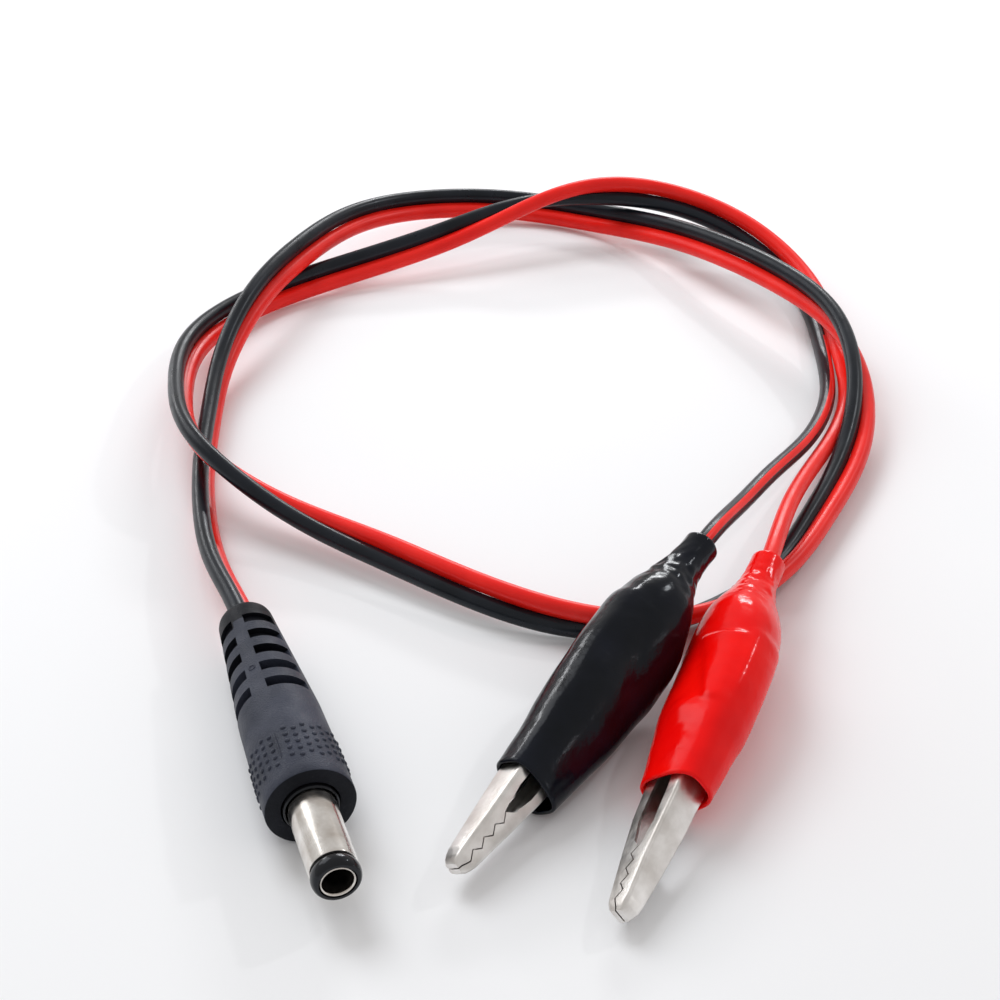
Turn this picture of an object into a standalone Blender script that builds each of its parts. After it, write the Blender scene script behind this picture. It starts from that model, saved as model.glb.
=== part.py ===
"""A DC barrel plug lead: a figure-8 cord runs from a moulded plug to two insulated crocodile clips.

Run it with: blender --background --python part.py
The lead lies on the plane z = 0, with +Z up. Lengths in the tables are millimetres, scaled by MM.
"""

import math

import bmesh
import bpy
import numpy as np
from mathutils import Matrix, Vector

MM = 0.001

# The cord: two round conductors side by side.
WIRE_RADIUS = 1.12
WIRE_OFFSET = 1.25  # each conductor's centre from the pair's centre
PAIR_STEPS = 66
TAIL_STEP = 7.0

# The plug: its own +Z runs out of the barrel, from the middle of the overmould's front face.
PLUG_FRONT = (-21.15, -13.8, 5.2)
PLUG_HEADING = -72.5
PLUG_LENGTH = 33.8
BARREL_LENGTH = 12.2
SLEEVE_RADIUS = 2.75
SLEEVE_WALL = 0.3
CONTACT_RADIUS = 2.0
CONTACT_WALL = 0.3
COLLAR_RADIUS = 3.2
COLLAR_DEPTH = 14.0
SLOT_COLUMNS = 4
SLOT_ROWS = 5
SLOT_FIRST = -30.1
SLOT_PITCH = 3.4
SLOT_WIDTH = 1.7
SLOT_SPAN = 65.0
SLOT_DEPTH = 1.1
RIB_ANGLE = 25.0

# The clips: their own +X runs to the jaws' tip, +Z from the fixed jaw to the moving one.
CLIPS = {
    "black": {
        "pivot": (9.0, 1.6, 6.35),
        "heading": -123.2,
        "pitch": 7.8,
        "roll": 35.0,
        "slide": 0.0,  # how far the boot sits from its usual place
        "mouth": 13.2,
        "mouth_shift": -0.6,
        "neck_shift": 1.4,
    },
    "red": {
        "pivot": (21.5, -2.3, 4.85),
        "heading": -111.15,
        "pitch": 5.4,
        "roll": -53.0,
        "slide": -3.2,
        "mouth": 8.8,
        "mouth_shift": 0.3,
        "neck_shift": -0.9,
    },
}
JAW_WALL = 0.4
JAW_GAP = 0.16
TOOTH_FIRST = 25.5
TOOTH_STEP = 1.0
TOOTH_DEPTH = 0.35
TOOTH_POINTS = 8
HOLE_RADIUS = 0.95
RIVET_RADIUS = 0.85
BOOT_WALL = 0.5
BOOT_SIDES = 20
NECK_END = -28.3
CRIMP_FRONT = -17.4
CRIMP_BACK = -20.6
SPRING_WIRE = 0.3
SPRING_RADIUS = 1.45
SPRING_FOOT = (-11.0, 3.4)
SPRING_HALF_WIDTH = 0.95

# The pair's route from the plug's tail: x, y, z and the turn of black-to-red, from left towards up.
PAIR_ROUTE = [
    (-35.6, 29.9, 4.4, 240),
    (-39.0, 43.7, 3.0, 250),
    (-40.5, 56.0, 2.45, 258),
    (-40.8, 68.6, 2.8, 262),
    (-40.2, 80.1, 4.2, 260),
    (-37.2, 91.3, 6.8, 250),
    (-30.4, 107.8, 7.2, 237),
    (-23.2, 119.9, 6.0, 231),
    (-12.6, 128.4, 4.0, 230),
    (0.9, 131.0, 2.6, 231),
    (13.7, 127.2, 2.5, 232),
    (25.5, 118.4, 4.4, 232),
    (33.1, 108.9, 6.4, 234),
    (40.7, 98.5, 7.5, 243),
    (47.1, 87.3, 7.5, 272),
    (49.4, 76.7, 6.4, 300),
    (49.2, 68.2, 4.8, 320),
    (46.5, 57.4, 3.0, 348),
    (40.8, 44.7, 2.2, 368),
    (33.2, 31.5, 2.2, 385),
    (22.6, 23.3, 2.3, 404),
    (11.5, 21.5, 2.6, 446),
    (-0.7, 25.4, 3.2, 488),
    (-15.2, 34.9, 3.5, 512),
    (-29.9, 44.3, 4.8, 566),
    (-39.9, 52.9, 7.3, 602),
    (-45.0, 69.5, 5.6, 604),
    (-44.6, 87.0, 3.6, 592),
    (-36.8, 100.6, 2.4, 590),
    (-23.6, 109.4, 3.0, 590),
    (-8.5, 115.9, 5.3, 575),
    (6.4, 122.6, 8.0, 505),
    (21.7, 125.4, 7.6, 428),
    (37.1, 118.6, 4.9, 411),
    (45.5, 105.1, 2.4, 402),
    (47.3, 87.6, 2.3, 394),
]
# Past the split each conductor runs alone to its clip.
SPLIT_ROUTE = {
    "black": [(45.1, 71.8, 3.1), (40.5, 58.4, 4.8), (34.8, 48.0, 6.8), (29.9, 38.5, 8.6)],
    "red": [(47.8, 72.1, 2.5), (44.3, 61.3, 2.9), (40.4, 52.3, 4.2), (36.3, 41.4, 6.0)],
}

# Half-widths of a boot: x, along the squeeze, across it, and how square the section is.
BOOT_SECTIONS = [
    (-28.3, 2.2, 2.2, 2.0),
    (-25.2, 2.2, 2.2, 2.0),
    (-23.3, 2.4, 2.35, 2.0),
    (-21.0, 3.1, 3.0, 2.0),
    (-17.5, 4.5, 4.3, 2.1),
    (-15.0, 5.3, 4.4, 2.2),
    (-12.0, 5.7, 4.2, 2.4),
    (-6.0, 5.75, 3.8, 2.7),
    (-2.0, 5.6, 3.9, 2.9),
    (2.5, 5.2, 3.9, 3.0),
    (6.5, 4.7, 3.5, 3.0),
    (10.0, 4.3, 3.2, 3.0),
    (13.2, 4.0, 2.95, 3.0),
]
# A jaw's back, its half-width and its lower edge behind the teeth, against x.
JAW_BACK = [(-15, 4.0), (-12, 4.3), (-5, 3.75), (0, 3.2), (6, 2.85), (10, 2.65), (14, 2.45), (20, 1.9),
            (25.3, 1.45), (26.6, 1.1), (27, 0.65)]
OUTER_HALF = [(-15, 1.9), (-6, 2.2), (-2, 2.4), (6, 2.4), (10, 2.05), (14, 2.0), (20, 1.75), (26, 1.3), (27, 0.9)]
INNER_HALF = [(-15, 1.8), (-3, 1.85), (6, 1.85), (10, 2.0), (14, 2.0), (20, 1.75), (26, 1.3), (27, 0.9)]
JAW_EDGE = [(-15, 3.2), (-12, 3.4), (-9, 2.9), (-6, 2.0), (-4.4, 0.4), (-3, -1.6), (-1.2, -2.4), (1.2, -2.4),
            (3.2, -1.7), (5, -0.4), (6.5, 0.9), (8, 1.15), (15, 1.1), (17.5, 0.6)]

COLOURS = {
    "charcoal_plastic": ((0.035, 0.037, 0.045), 0.6, 0.0),
    "black_plastic": ((0.01, 0.01, 0.012), 0.3, 0.0),
    "black_pvc": ((0.012, 0.013, 0.016), 0.25, 0.0),
    "red_pvc": ((0.78, 0.03, 0.02), 0.25, 0.0),
    "nickel": ((0.72, 0.70, 0.67), 0.3, 1.0),
    "spring_steel": ((0.45, 0.45, 0.46), 0.35, 1.0),
    "copper": ((0.78, 0.38, 0.22), 0.4, 1.0),
}


def clear_scene():
    for found in list(bpy.data.objects):
        bpy.data.objects.remove(found)


def new_collection(name):
    made = bpy.data.collections.new(name)
    bpy.context.scene.collection.children.link(made)
    return made


def new_materials():
    made = {}
    for name, (colour, roughness, metallic) in COLOURS.items():
        made[name] = bpy.data.materials.new(name)
        made[name].use_nodes = True
        shader = made[name].node_tree.nodes["Principled BSDF"]
        shader.inputs["Base Color"].default_value = (*colour, 1)
        shader.inputs["Roughness"].default_value = roughness
        shader.inputs["Metallic"].default_value = metallic
    return made


clear_scene()
PARTS = new_collection("barrel_plug_clip_lead")
CUTTERS = new_collection("cutters")
MATERIALS = new_materials()


def add_object(name, data, material, parent=None):
    """Links data as an object named name, in its parent's axes."""
    made = bpy.data.objects.new(name, data)
    made.parent = parent
    PARTS.objects.link(made)
    data.materials.append(MATERIALS[material])
    return made


def add_empty(name, matrix):
    made = bpy.data.objects.new(name, None)
    made.matrix_world = matrix
    made.empty_display_size = 0.01
    PARTS.objects.link(made)
    return made


def as_cutter(made):
    PARTS.objects.unlink(made)
    CUTTERS.objects.link(made)
    made.hide_render = True
    made.display_type = "WIRE"
    return made


def combine(target, other, operation):
    """Cuts or joins other, which becomes a hidden helper."""
    modifier = target.modifiers.new(operation.lower() + "_" + other.name, "BOOLEAN")
    modifier.operation = operation
    modifier.solver = "EXACT"
    modifier.object = as_cutter(other)


def finish_mesh(mesh, built, smooth):
    bmesh.ops.recalc_face_normals(built, faces=built.faces)
    built.to_mesh(mesh)
    built.free()
    if smooth:
        mesh.shade_smooth()
        mesh.set_sharp_from_angle(angle=math.radians(35))


def add_loft(name, rings, material, parent=None, capped=True, smooth=True):
    """Skins rings of points, given in millimetres, in order."""
    built = bmesh.new()
    rows = [[built.verts.new(Vector(point) * MM) for point in ring] for ring in rings]
    count = len(rows[0])
    for row, after in zip(rows, rows[1:]):
        for i in range(count):
            built.faces.new((row[i], row[(i + 1) % count], after[(i + 1) % count], after[i]))
    if capped:
        built.faces.new(rows[0])
        built.faces.new(rows[-1])
    mesh = bpy.data.meshes.new(name)
    finish_mesh(mesh, built, smooth)
    return add_object(name, mesh, material, parent)


def add_turned(name, profile, material, parent, closed=False, steps=24):
    """Turns (radius, height) points about the parent's Z; the outer side runs from top to bottom."""
    built = bmesh.new()
    points = [built.verts.new((radius * MM, 0, height * MM)) for radius, height in profile]
    for first, second in zip(points, points[1:]):
        built.edges.new((first, second))
    if closed:
        built.edges.new((points[-1], points[0]))
    mesh = bpy.data.meshes.new(name)
    built.to_mesh(mesh)
    built.free()
    made = add_object(name, mesh, material, parent)
    screw = made.modifiers.new("turn", "SCREW")
    screw.steps = steps
    screw.render_steps = steps
    screw.use_merge_vertices = True
    screw.merge_threshold = 0.00001
    screw.use_smooth_shade = True
    return made


def add_tube(name, points, radius, material, parent=None):
    """A round wire of this radius along points, closed at both ends."""
    curve = bpy.data.curves.new(name, "CURVE")
    curve.dimensions = "3D"
    curve.bevel_depth = radius * MM
    curve.bevel_resolution = 2
    curve.use_fill_caps = True
    spline = curve.splines.new("POLY")
    spline.points.add(len(points) - 1)
    for target, point in zip(spline.points, points):
        target.co = (*(Vector(point) * MM), 1)
    return add_object(name, curve, material, parent)


def add_cylinder(name, radius, start, end, material, parent, turn=None):
    """A round bar along the parent's Z, or along Z turned by a matrix."""
    built = bmesh.new()
    bmesh.ops.create_cone(
        built, cap_ends=True, segments=16, radius1=radius * MM, radius2=radius * MM, depth=(end - start) * MM
    )
    bmesh.ops.translate(built, verts=built.verts, vec=(0, 0, (start + end) / 2 * MM))
    if turn:
        bmesh.ops.transform(built, verts=built.verts, matrix=turn)
    mesh = bpy.data.meshes.new(name)
    finish_mesh(mesh, built, smooth=True)
    return add_object(name, mesh, material, parent)


def smooth_curve(points, count):
    """Count points, evenly spaced, on the natural cubic spline through points of any dimension."""
    points = np.array(points, float)
    knots = np.concatenate([[0], np.cumsum(np.linalg.norm(np.diff(points[:, :3], axis=0), axis=1))])
    gaps = np.diff(knots)
    size = len(points)
    system = np.eye(size)
    right = np.zeros_like(points)
    for i in range(1, size - 1):
        system[i, i - 1 : i + 2] = gaps[i - 1], 2 * (gaps[i - 1] + gaps[i]), gaps[i]
        right[i] = 6 * ((points[i + 1] - points[i]) / gaps[i] - (points[i] - points[i - 1]) / gaps[i - 1])
    bends = np.linalg.solve(system, right)

    def at(place):
        i = min(int(np.searchsorted(knots, place, side="right")) - 1, size - 2)
        before, after = place - knots[i], knots[i + 1] - place
        return (
            (bends[i] * after**3 + bends[i + 1] * before**3) / (6 * gaps[i])
            + (points[i] / gaps[i] - bends[i] * gaps[i] / 6) * after
            + (points[i + 1] / gaps[i] - bends[i + 1] * gaps[i] / 6) * before
        )

    fine = np.array([at(place) for place in np.linspace(0, knots[-1], 40 * size)])
    along = np.concatenate([[0], np.cumsum(np.linalg.norm(np.diff(fine[:, :3], axis=0), axis=1))])
    wanted = np.linspace(0, along[-1], count)
    return np.column_stack([np.interp(wanted, along, fine[:, k]) for k in range(points.shape[1])])


def value_at(table, x):
    return float(np.interp(x, [row[0] for row in table], [row[1] for row in table]))


def plug_matrix():
    heading = Matrix.Rotation(math.radians(PLUG_HEADING), 4, "Z")
    return Matrix.Translation(Vector(PLUG_FRONT) * MM) @ heading @ Matrix.Rotation(math.pi / 2, 4, "Y")


def clip_matrix(clip):
    turns = (("heading", "Z"), ("pitch", "Y"), ("roll", "X"))
    matrix = Matrix.Translation(Vector(clip["pivot"]) * MM)
    for key, axis in turns:
        matrix = matrix @ Matrix.Rotation(math.radians(clip[key]), 4, axis)
    return matrix


def world_mm(matrix, point):
    return tuple((matrix @ (Vector(point) * MM)) / MM)


def overmold_radius(height):
    outline = [(-33.8, 2.95), (-33.2, 3.3), (-30.6, 3.5), (-14.8, 4.8), (-5, 5.1), (-0.3, 5.15), (0, 4.9)]
    return value_at(outline, height)


def build_overmold(plug):
    """The plug's tapered body: open at the front for the barrel, with a channel for the cord."""
    outer = [0, -0.3, -5, -14.8, -22.8, -30.6, -33.2]
    profile = [(0, -19.5), (3.0, -19.5), (3.0, -14.3), (3.35, -14.3), (3.35, 0)]
    profile += [(overmold_radius(height), height) for height in outer]
    profile.append((0, -PLUG_LENGTH))
    body = add_turned("plug_overmold", profile, "charcoal_plastic", plug)
    combine(body, build_cord_channel(plug), "DIFFERENCE")
    combine(body, build_slots(plug), "DIFFERENCE")


def build_cord_channel(plug):
    """A stadium-shaped bar, its long side in line with the two conductors."""
    roll = math.radians(PAIR_ROUTE[0][3])
    across = math.atan2(-math.cos(roll), -math.sin(roll))
    reach, radius = WIRE_OFFSET, WIRE_RADIUS + 0.28
    outline = []
    for side in (1, -1):
        for i in range(7):
            angle = math.pi * (i / 6 - 0.5) + (0 if side > 0 else math.pi)
            outline.append((side * reach + radius * math.cos(angle), radius * math.sin(angle)))
    turned = [
        (x * math.cos(across) - y * math.sin(across), x * math.sin(across) + y * math.cos(across))
        for x, y in outline
    ]
    rings = [[(x, y, height) for x, y in turned] for height in (-36, -19)]
    return add_loft("cord_channel", rings, "charcoal_plastic", plug)


def build_slots(plug):
    """The strain relief's slots: rows of arcs round the tail, with ribs left between the columns."""
    built = bmesh.new()
    for row in range(SLOT_ROWS):
        middle = SLOT_FIRST + row * SLOT_PITCH
        inside = max(overmold_radius(middle) - SLOT_DEPTH, 2.95)
        for column in range(SLOT_COLUMNS):
            centre = RIB_ANGLE + (column + 0.5) * 360 / SLOT_COLUMNS
            angles = [math.radians(centre + SLOT_SPAN * (i / 4 - 0.5)) for i in range(5)]
            arc = [(inside, a) for a in angles] + [(6.5, a) for a in reversed(angles)]
            rings = []
            for height in (middle - SLOT_WIDTH / 2, middle + SLOT_WIDTH / 2):
                ring = [(radius * math.cos(a), radius * math.sin(a), height) for radius, a in arc]
                rings.append([built.verts.new(Vector(point) * MM) for point in ring])
            low, high = rings
            built.faces.new(low)
            built.faces.new(high)
            for i in range(len(low)):
                j = (i + 1) % len(low)
                built.faces.new((low[i], low[j], high[j], high[i]))
    mesh = bpy.data.meshes.new("slots")
    finish_mesh(mesh, built, smooth=False)
    return add_object("slots", mesh, "charcoal_plastic", plug)


def build_barrel(plug):
    """The collar that grips the barrel, the outer sleeve, the insulating nose and the inner contact."""
    tip = BARREL_LENGTH
    bore = SLEEVE_RADIUS + 0.12
    collar = [(bore, 0.4), (COLLAR_RADIUS, 0.4), (COLLAR_RADIUS, -COLLAR_DEPTH), (1.0, -COLLAR_DEPTH),
              (1.0, -8.6), (bore, -8.6)]
    mold = add_turned("plug_inner_mold", collar, "black_plastic", plug, closed=True)
    combine(mold, build_tab(plug, "tab_slot", margin=0.15, start=-15), "DIFFERENCE")

    inside = SLEEVE_RADIUS - SLEEVE_WALL
    end = tip - 2.0
    sleeve_profile = [(SLEEVE_RADIUS, end), (SLEEVE_RADIUS, -8), (inside, -8), (inside, end)]
    sleeve = add_turned("plug_sleeve", sleeve_profile, "nickel", plug, closed=True)
    combine(sleeve, build_tab(plug, "sleeve_tab", margin=0.0, start=-17), "UNION")

    hollow = CONTACT_RADIUS + 0.1
    liner = inside - 0.1
    nose = [(hollow, tip), (2.4, tip - 0.05), (2.62, tip - 0.3), (2.74, tip - 0.7), (2.78, tip - 1.15)]
    nose += [(2.74, tip - 1.6), (2.62, tip - 1.85), (liner, tip - 1.85), (liner, -6), (hollow, -6)]
    add_turned("plug_tip_ring", nose, "black_plastic", plug, closed=True)

    core = CONTACT_RADIUS - CONTACT_WALL
    contact = [(0, -7.5), (core, -7.5), (core, tip - 0.15), (CONTACT_RADIUS, tip - 0.15),
               (CONTACT_RADIUS, -8.2), (0.7, -8.2), (0.7, -17), (0, -17)]
    add_turned("plug_center_contact", contact, "nickel", plug)


def black_side(plug_height):
    """The point beside the plug's axis where the black conductor lies."""
    roll = math.radians(PAIR_ROUTE[0][3])
    return Vector((math.sin(roll), math.cos(roll), 0)) * WIRE_OFFSET + Vector((0, 0, plug_height))


def build_tab(plug, name, margin, start):
    """The sleeve's solder tab: a strip on the black conductor's side, grown by margin for its slot."""
    side = black_side(0).normalized()
    across = Vector((-side.y, side.x, 0))
    low, high = 2.5 - margin, 2.72 + margin
    half = 0.6 + margin
    rings = []
    for height in (start, -7.6):
        corners = ((low, -half), (high, -half), (high, half), (low, half))
        rings.append([side * reach + across * wide + Vector((0, 0, height)) for reach, wide in corners])
    return add_loft(name, rings, "nickel", plug, smooth=False)


def jaw_stations():
    teeth = [TOOTH_FIRST - i * TOOTH_STEP for i in range(TOOTH_POINTS)]
    tables = (JAW_BACK, OUTER_HALF, INNER_HALF, JAW_EDGE)
    return sorted({x for table in tables for x, _ in table} | set(teeth))


def jaw_edge(x, sign):
    """Height of a jaw's biting edge on the moving jaw's side, before the fixed jaw is turned over."""
    teeth = [(17.5, 0.6 * sign)]
    for i in reversed(range(TOOTH_POINTS)):
        teeth.append((TOOTH_FIRST - i * TOOTH_STEP, TOOTH_DEPTH * (-1) ** (i + 1)))
    teeth.append((26.6, 0.0))
    if x < 17.5:
        return value_at(JAW_EDGE, x)
    return sign * value_at(teeth, x) + JAW_GAP / 2


def build_jaw(name, clip, sign, half_widths):
    """One stamped channel: a flat back, two side walls with teeth, ears at the pivot and a handle."""
    chamfer = 0.35
    rings = []
    hollow = []
    for x in jaw_stations():
        half = value_at(half_widths, x)
        back = value_at(JAW_BACK, x)
        edge = jaw_edge(x, sign)
        outline = [(half, edge), (half, back - chamfer), (half - chamfer, back)]
        outline += [(-y, z) for y, z in reversed(outline)]
        rings.append([(x, y, sign * z) for y, z in outline])
        if x <= 25.5:
            inner = half - JAW_WALL
            hollow.append([(x, y, sign * z) for y, z in ((inner, -9), (inner, back - JAW_WALL),
                                                         (-inner, back - JAW_WALL), (-inner, -9))])
    hollow[0] = [(-16, y, z) for _, y, z in hollow[0]]
    jaw = add_loft(name, rings, "nickel", clip)
    combine(jaw, add_loft(name + "_hollow", hollow, "nickel", clip), "DIFFERENCE")
    sideways = Matrix.Rotation(math.pi / 2, 4, "X")
    hole = add_cylinder(name + "_hole", HOLE_RADIUS, -5, 5, "nickel", clip, sideways)
    combine(jaw, hole, "DIFFERENCE")
    return jaw


def crimp_centre(colour):
    return CLIPS[colour]["neck_shift"] * 0.7


def build_crimp(colour, clip, jaw):
    """The fixed jaw's tail: a tongue up to a barrel that holds the conductor's strands."""
    centre = crimp_centre(colour)
    under = centre - 1.18
    path = [(-14.2, -4.0), (-15.2, -3.95), (-17.2, under), (CRIMP_BACK + 0.3, under)]
    rings = []
    for x, z in path:
        rings.append([(x, -0.9, z), (x, 0.9, z), (x, 0.9, z + 0.4), (x, -0.9, z + 0.4)])
    combine(jaw, add_loft(colour + "_tongue", rings, "nickel", clip, smooth=False), "UNION")
    along = Matrix.Translation((0, 0, centre * MM)) @ Matrix.Rotation(math.pi / 2, 4, "Y")
    barrel = add_cylinder(colour + "_barrel", 1.2, CRIMP_BACK, CRIMP_FRONT, "nickel", clip, along)
    combine(jaw, barrel, "UNION")
    bore = add_cylinder(colour + "_bore", 0.8, CRIMP_BACK - 1, CRIMP_FRONT + 0.6, "nickel", clip, along)
    combine(jaw, bore, "DIFFERENCE")


def build_rivet(name, clip):
    head, shaft, end = 1.5, RIVET_RADIUS, 3.05
    half = [(0, end), (head - 0.3, end), (head, end - 0.2), (head, end - 0.4), (shaft, end - 0.4)]
    profile = half + [(radius, -height) for radius, height in reversed(half)]
    rivet = add_turned(name, profile, "nickel", clip, steps=16)
    rivet.rotation_euler = (math.pi / 2, 0, 0)


def build_spring(name, clip):
    """A torsion spring round the rivet, its legs under the two handles."""
    foot = Vector(SPRING_FOOT)
    reach = math.atan2(foot.y, foot.x) - math.acos(SPRING_RADIUS / foot.length)
    sweep = 2 * reach + 4 * math.pi
    count = 44
    points = [(foot.x, SPRING_HALF_WIDTH, foot.y)]
    for i in range(count):
        share = i / (count - 1)
        angle = reach - sweep * share
        across = SPRING_HALF_WIDTH * (1 - 2 * share)
        points.append((SPRING_RADIUS * math.cos(angle), across, SPRING_RADIUS * math.sin(angle)))
    points.append((foot.x, -SPRING_HALF_WIDTH, -foot.y))
    add_tube(name, points, SPRING_WIRE, "spring_steel", clip)


def boot_shift(values, x):
    """How far the boot's middle lies from the clip's axis, along the squeeze."""
    places = (NECK_END + 5, -11, 6)
    return float(np.interp(x, places, (values["neck_shift"], 0, values["mouth_shift"])))


def build_boot(name, clip, values, material):
    """The soft sleeve: a skin through rounded sections, thickened inwards."""
    slide, mouth = values["slide"], values["mouth"]
    stations = [row[0] + slide for row in BOOT_SECTIONS if row[0] + slide < mouth - 0.5]
    columns = list(zip(*BOOT_SECTIONS))
    rings = []
    for x in stations + [mouth]:
        along, across, square = (float(np.interp(x - slide, columns[0], columns[k])) for k in (1, 2, 3))
        shift = boot_shift(values, x)
        ring = []
        for i in range(BOOT_SIDES):
            angle = 2 * math.pi * i / BOOT_SIDES
            y = math.copysign(abs(math.cos(angle)) ** (2 / square), math.cos(angle)) * across
            z = math.copysign(abs(math.sin(angle)) ** (2 / square), math.sin(angle)) * along
            ring.append((x, y, z + shift))
        rings.append(ring)
    boot = add_loft(name, rings, material, clip, capped=False)
    shell = boot.modifiers.new("wall", "SOLIDIFY")
    shell.thickness = BOOT_WALL * MM
    shell.offset = -1
    shell.use_even_offset = True


def build_clip(colour):
    """One crocodile clip, from its boot to the strands in its crimp."""
    values = CLIPS[colour]
    clip = add_empty(colour + "_clip_pivot", clip_matrix(values))
    fixed = build_jaw(colour + "_clip_fixed_jaw", clip, -1, INNER_HALF)
    build_crimp(colour, clip, fixed)
    build_jaw(colour + "_clip_moving_jaw", clip, 1, OUTER_HALF)
    build_rivet(colour + "_clip_rivet", clip)
    build_spring(colour + "_clip_spring", clip)
    build_boot(colour + "_clip_boot", clip, values, colour + "_pvc")
    strands = [(-22.0, 0, crimp_centre(colour)), (-17.6, 0, crimp_centre(colour))]
    add_tube(colour + "_clip_strands", strands, 0.5, "copper", clip)


def pair_samples(plug):
    """The pair's centre and turn, evenly spaced from inside the plug to the split."""
    first_turn = PAIR_ROUTE[0][3]
    inside = [(*world_mm(plug, (0, 0, height)), first_turn) for height in (-19.0, -27.0, -36.0)]
    return smooth_curve(inside + PAIR_ROUTE, PAIR_STEPS)


def conductor_points(colour, samples):
    """One conductor's centreline: beside the pair's centre, then alone into its clip's crimp."""
    side = 1 if colour == "red" else -1
    centres = samples[:, :3]
    forward = np.gradient(centres, axis=0)
    forward /= np.linalg.norm(forward, axis=1)[:, None]
    left = np.column_stack([-forward[:, 1], forward[:, 0], np.zeros(len(forward))])
    left /= np.linalg.norm(left, axis=1)[:, None]
    up = np.cross(forward, left)
    turn = np.radians(samples[:, 3])[:, None]
    joined = centres + side * WIRE_OFFSET * (np.cos(turn) * left + np.sin(turn) * up)
    values = CLIPS[colour]
    clip = clip_matrix(values)
    neck = NECK_END + values["slide"]
    ends = ((neck, 0, values["neck_shift"]), (-22.4, 0, crimp_centre(colour)))
    into = [world_mm(clip, point) for point in ends]
    lead_in = [tuple(point) for point in joined[-3:]]
    route = lead_in + SPLIT_ROUTE[colour] + into
    spread = sum(math.dist(a, b) for a, b in zip(route, route[1:]))
    tail = smooth_curve(route, round(spread / TAIL_STEP))
    past = [point for point in tail if math.dist(point, route[0]) > math.dist(route[0], route[2]) + 2]
    return [tuple(point) for point in joined] + [tuple(point) for point in past]


def main():
    plug = add_empty("plug_front", plug_matrix())
    build_overmold(plug)
    build_barrel(plug)
    samples = pair_samples(plug.matrix_world)
    for colour, side in (("black", 1), ("red", -1)):
        add_tube("cord_" + colour, conductor_points(colour, samples), WIRE_RADIUS, colour + "_pvc")
        strands = [side * black_side(0) + Vector((0, 0, height)) for height in (-18.7, -14.6)]
        add_tube("plug_strands_" + colour, strands, 0.42, "copper", plug)
        build_clip(colour)


main()
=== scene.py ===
"""The looks of a DC barrel plug lead: a moulded plug, a red and black figure-8 cord and two insulated clips.

Lengths in the tables are millimetres in the frame's own axes, scaled by MM.
"""

import math

import bmesh
import bpy
import numpy as np
from mathutils import Matrix, Vector, noise


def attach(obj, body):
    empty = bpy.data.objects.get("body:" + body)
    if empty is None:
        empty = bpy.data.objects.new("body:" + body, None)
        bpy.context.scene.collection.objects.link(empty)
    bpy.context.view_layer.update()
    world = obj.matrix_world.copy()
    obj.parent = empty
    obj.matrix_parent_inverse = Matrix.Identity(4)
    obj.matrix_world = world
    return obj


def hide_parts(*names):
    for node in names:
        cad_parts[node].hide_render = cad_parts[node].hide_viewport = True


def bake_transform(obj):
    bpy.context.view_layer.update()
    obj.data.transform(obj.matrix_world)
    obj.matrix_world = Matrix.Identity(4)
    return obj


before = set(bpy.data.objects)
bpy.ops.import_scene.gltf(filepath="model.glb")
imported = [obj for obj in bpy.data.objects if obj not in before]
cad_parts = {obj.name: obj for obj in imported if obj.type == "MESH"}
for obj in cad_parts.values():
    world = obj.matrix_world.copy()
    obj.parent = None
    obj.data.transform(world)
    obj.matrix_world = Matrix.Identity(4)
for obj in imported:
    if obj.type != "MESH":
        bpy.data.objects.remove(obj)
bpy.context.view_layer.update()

MM = 0.001
SOFT_EDGE = 0.07

# The cord: two round conductors joined by a thin web.
WIRE_RADIUS = 1.12
WIRE_OFFSET = 1.25
WIRE_SIDES = 32
WEB_REACH = 1.235
WEB_HALF_ANGLE = 17.5
WEB_RIDGE = 0.035
WEB_TEAR = 3.0
CORD_STEP = 1.25

# The plug: its own +Z runs out of the barrel, from the middle of the overmould's front face.
PLUG_FRONT = (-21.15, -13.8, 5.2)
PLUG_HEADING = -72.5
PLUG_LENGTH = 33.8
PLUG_OUTLINE = [(-33.8, 2.95), (-33.2, 3.3), (-30.6, 3.5), (-14.8, 4.8), (-5, 5.1), (-0.3, 5.15), (0, 4.9)]
BORE_FLOOR = -19.5
BORE_STEP = -14.3
BARREL_LENGTH = 12.2
SLEEVE_RADIUS = 2.75
CONTACT_RADIUS = 2.0
COLLAR_RADIUS = 3.2
CHANNEL_CLEARANCE = 0.28
SLOT_COLUMNS = 4
SLOT_ROWS = 5
SLOT_FIRST = -30.1
SLOT_PITCH = 3.4
SLOT_WIDTH = 1.7
SLOT_SPAN = 65.0
SLOT_DEPTH = 1.25
SLOT_LEAST_RADIUS = 2.95
RIB_ANGLE = 25.0

# The raised dots on either side of the plug, in staggered columns; angles in degrees from a seam.
DOT_COLUMNS = 14
DOT_ROWS = 5
DOT_FIRST_ANGLE = 8
DOT_ANGLE_STEP = 12.2
DOT_FIRST = -2.9
DOT_PITCH = 1.15
DOT_STAGGER = 0.45
DOT_SIZE = (0.2, 0.31, 0.31)
SEAM_MIDDLE = -5.6
SEAM_SIZE = (0.26, 0.13, 2.3)
PIN_MARK = -20.3
PIN_MARK_RADIUS = 0.35
PIN_MARK_SIZE = (0.1, 0.13, 0.13)

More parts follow.
